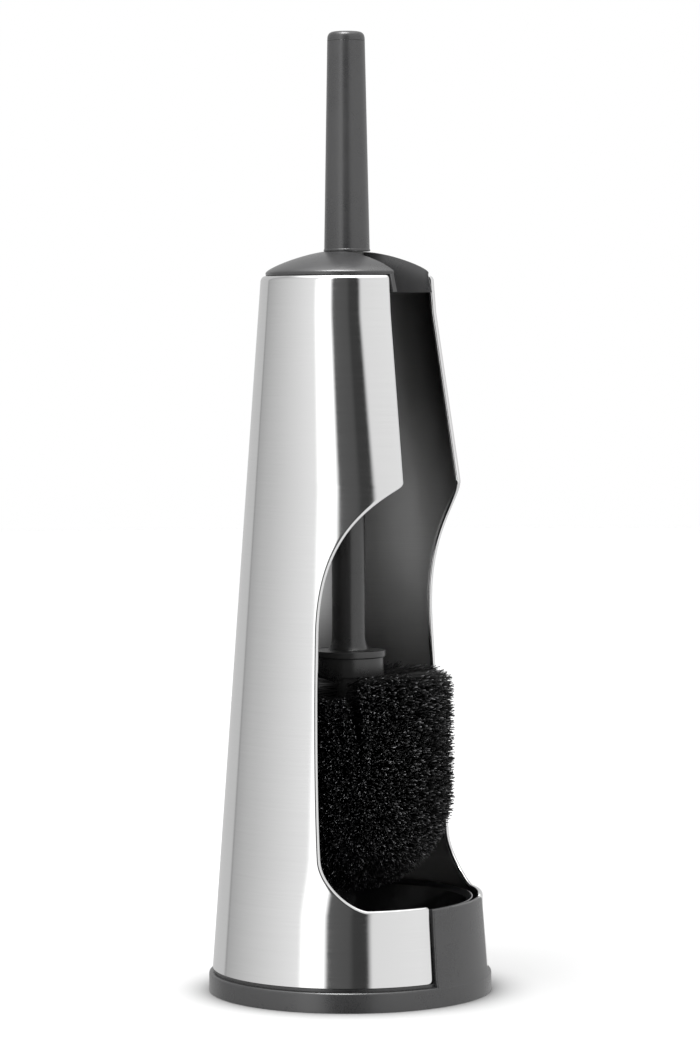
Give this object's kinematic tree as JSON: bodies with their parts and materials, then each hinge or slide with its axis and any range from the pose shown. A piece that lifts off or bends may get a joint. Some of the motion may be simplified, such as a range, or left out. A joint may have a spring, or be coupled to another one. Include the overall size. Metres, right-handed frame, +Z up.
{
  "type": "toilet brush holder",
  "caption": "Conical steel holder with an open front on a plastic base, with a long-handled brush hanging from its slotted cap over a drip bucket.",
  "frame": {"origin": "centre of the base's underside, on the surface that the holder stands on", "axes": "+Z up along the cone's axis, -Y out of the open front (the slot), +X across the opening"},
  "size_m": [0.129, 0.129, 0.435],
  "materials": {
    "steel": "polished with fine brushing round the cone",
    "grey_plastic": "satin dark grey",
    "bucket_plastic": "glossy black",
    "head_plastic": "satin near-black",
    "bristle_nylon": "black nylon filament"
  },
  "bodies": {
    "holder": {"base": "grey_plastic", "jacket": "steel", "top_cap": "grey_plastic"},
    "bucket": {"inner_bucket": "bucket_plastic"},
    "brush": {"handle_grip": "grey_plastic", "handle_end_cap": "grey_plastic", "stem": "head_plastic"},
    "brush_head": {"head_core": "head_plastic", "bristle_column_01": "bristle_nylon", "bristle_column_02": "bristle_nylon", "bristle_column_03": "bristle_nylon", "bristle_column_04": "bristle_nylon", "bristle_column_05": "bristle_nylon", "bristle_column_06": "bristle_nylon", "bristle_column_07": "bristle_nylon", "bristle_column_08": "bristle_nylon", "bristle_column_09": "bristle_nylon", "bristle_column_10": "bristle_nylon", "bristle_column_11": "bristle_nylon", "bristle_column_12": "bristle_nylon", "bristle_tip": "bristle_nylon"}
  },
  "joints": [
    {"name": "brush_out", "type": "slide", "parent": "holder", "child": "brush", "axis": [0, -1, 0], "range_m": [0, 0.15]},
    {"name": "head_twist", "type": "hinge", "parent": "brush", "child": "brush_head", "pos_m": [0, 0, 0.15], "axis": [0, 0, 1], "range_deg": [0, 90]},
    {"name": "bucket_lift", "type": "slide", "parent": "holder", "child": "bucket", "axis": [0, 0, 1], "range_m": [0, 0.018]}
  ]
}
